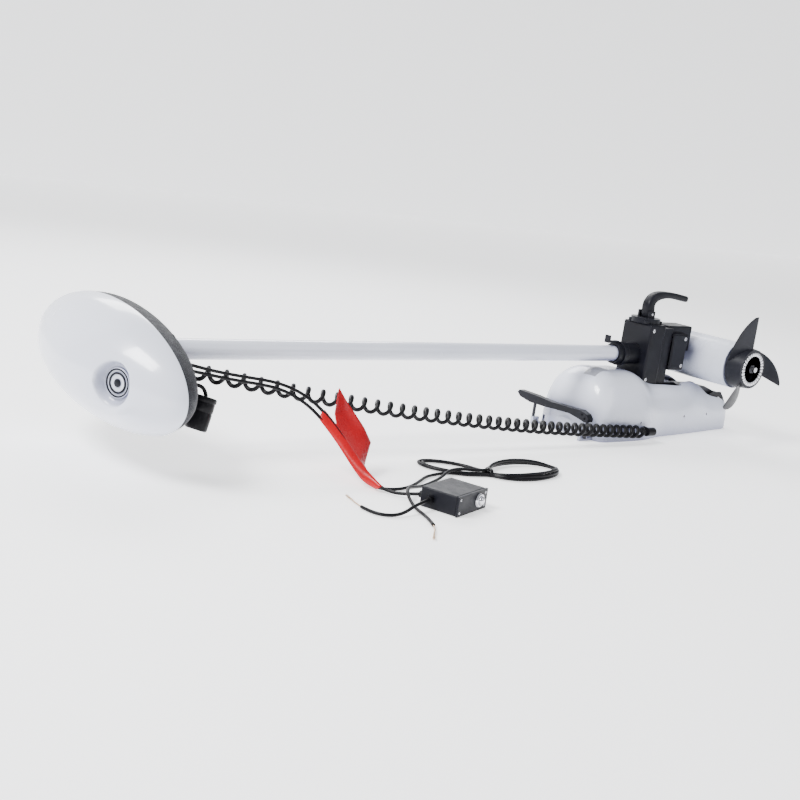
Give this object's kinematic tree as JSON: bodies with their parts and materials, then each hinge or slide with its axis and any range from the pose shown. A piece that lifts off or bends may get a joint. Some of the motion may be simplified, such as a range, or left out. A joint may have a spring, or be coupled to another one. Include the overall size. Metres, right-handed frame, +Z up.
{
  "type": "trolling motor",
  "caption": "Bow-mount electric trolling motor lying stowed on its deck mount, with an egg-shaped control head, tilting steering unit, weedless propeller, curly cord and breaker lead.",
  "frame": {"origin": "middle of the deck mount's underside, on the deck", "axes": "+X along the stowed shaft towards the bow and the motor, -Y the propeller's side, +Z up"},
  "size_m": [1.436, 0.618, 0.2718],
  "materials": {
    "white_gloss": "high gloss white moulding with a cool cast",
    "white_paint": "gloss white paint on metal",
    "grey_cover": "fine speckled texture, dark grey",
    "black_plastic": "satin black moulding with a slate cast",
    "prop_plastic": "satin dark slate glass-filled nylon",
    "black_rubber": "soft black cord jacket",
    "steel": "stainless",
    "bright_ring": "bright ring",
    "silver_button": "silver push button",
    "aluminium": "cast aluminium, dark anodised",
    "copper": "tinned and bare copper",
    "board_green": "circuit board",
    "magnet": "ferrite",
    "brass": "machined brass",
    "red_tag": "red sheet vinyl",
    "nylon": "natural nylon"
  },
  "bodies": {
    "base": {"base_plate": "white_paint", "base_channel": "black_plastic", "base_cover": "white_gloss", "cover_screws": "steel", "motor_rests": "black_rubber", "hinge_pin": "steel", "base_gland": "black_rubber", "latch_spring": "steel", "breaker_case": "black_plastic", "breaker_plate": "black_plastic", "breaker_screws": "steel", "breaker_glands": "black_rubber", "lead_one": "black_rubber", "lead_two": "black_rubber", "lead_hank": "black_rubber", "lead_two_tail": "black_rubber", "lead_one_tail": "black_rubber", "bare_ends": "copper", "warning_tag": "red_tag"},
    "pedal": {"foot_pedal": "black_plastic", "pedal_legs": "aluminium"},
    "latch": {"latch_bolt": "steel"},
    "unit": {"tilt_arm": "aluminium", "case_front": "black_plastic", "case_rear": "black_plastic", "case_band": "black_plastic", "case_screws": "steel", "steering_cap": "black_plastic", "steering_motor": "steel", "handle_pin": "steel", "coil_cord": "black_rubber"},
    "handle": {"pull_handle": "black_plastic"},
    "pinion": {"steering_pinion": "brass"},
    "sleeve": {"steering_sleeve": "black_plastic", "steering_gear": "nylon"},
    "collar": {"depth_collar": "black_plastic"},
    "lever": {"collar_lever": "black_plastic"},
    "shaft": {"shaft_tube": "white_gloss", "head_dome": "white_gloss", "head_lower_cover": "grey_cover", "head_gasket": "black_rubber", "head_badge": "black_plastic", "head_screws": "steel", "control_board": "board_green", "head_glands": "black_rubber", "pigtail_cord": "black_rubber", "connector_cap": "black_rubber", "motor_tube": "white_paint", "nose_cone": "white_paint", "rear_bell": "white_paint", "magnets": "magnet", "motor_bearings": "steel", "shaft_seal": "black_rubber"},
    "prop": {"propeller": "prop_plastic", "motor_shaft": "steel", "armature": "copper", "drive_pin": "steel", "prop_nut": "aluminium", "hub_ring": "bright_ring"},
    "button": {"breaker_button": "silver_button"}
  },
  "joints": [
    {"name": "stow_tilt", "type": "hinge", "parent": "base", "child": "unit", "pos_m": [0.205, 0, 0.06], "axis": [0, 1, 0], "range_deg": [0, 90], "deforming": ["coil_cord", "lead_one", "lead_two"]},
    {"name": "steering", "type": "hinge", "parent": "unit", "child": "sleeve", "pos_m": [0, 0, 0.15], "axis": [1, 0, 0], "range_deg": [-5, 5]},
    {"name": "pinion_spin", "type": "hinge", "parent": "unit", "child": "pinion", "pos_m": [0, 0, 0.18415], "axis": [1, 0, 0], "range_deg": [-20, 20]},
    {"name": "depth_slide", "type": "slide", "parent": "sleeve", "child": "shaft", "axis": [1, 0, 0], "range_m": [0, 0.7], "deforming": ["warning_tag"]},
    {"name": "collar_slide", "type": "slide", "parent": "sleeve", "child": "collar", "axis": [1, 0, 0], "range_m": [-0.88, 0]},
    {"name": "collar_lock", "type": "hinge", "parent": "collar", "child": "lever", "pos_m": [-0.11, 0, 0.165], "axis": [0, 0, 1], "range_deg": [0, 90]},
    {"name": "prop_spin", "type": "hinge", "parent": "shaft", "child": "prop", "pos_m": [0.13, 0, 0.15], "axis": [0, 1, 0], "continuous": true},
    {"name": "handle_pull", "type": "hinge", "parent": "unit", "child": "handle", "pos_m": [-0.037, 0, 0.228], "axis": [0, -1, 0], "range_deg": [0, 14], "stiffness_Nm_per_rad": 0.8, "springref_deg": -8.59},
    {"name": "pedal_push", "type": "hinge", "parent": "base", "child": "pedal", "pos_m": [-0.229, 0, 0.008], "axis": [0, -1, 0], "range_deg": [0, 15], "stiffness_Nm_per_rad": 1, "springref_deg": -5.73},
    {"name": "latch_slide", "type": "slide", "parent": "base", "child": "latch", "axis": [-1, 0, 0], "range_m": [0, 0.014], "deforming": ["latch_spring"]},
    {"name": "button_press", "type": "slide", "parent": "base", "child": "button", "axis": [-0.3173, 0.9483, 0], "range_m": [0, 0.003], "stiffness_N_per_m": 600, "springref_m": -0.0005}
  ],
  "couplings": [
    {"joint": "pinion_spin", "follows": "steering", "ratio": -3.3333},
    {"joint": "latch_slide", "follows": "pedal_push", "m_per_rad": 0.045837}
  ]
}
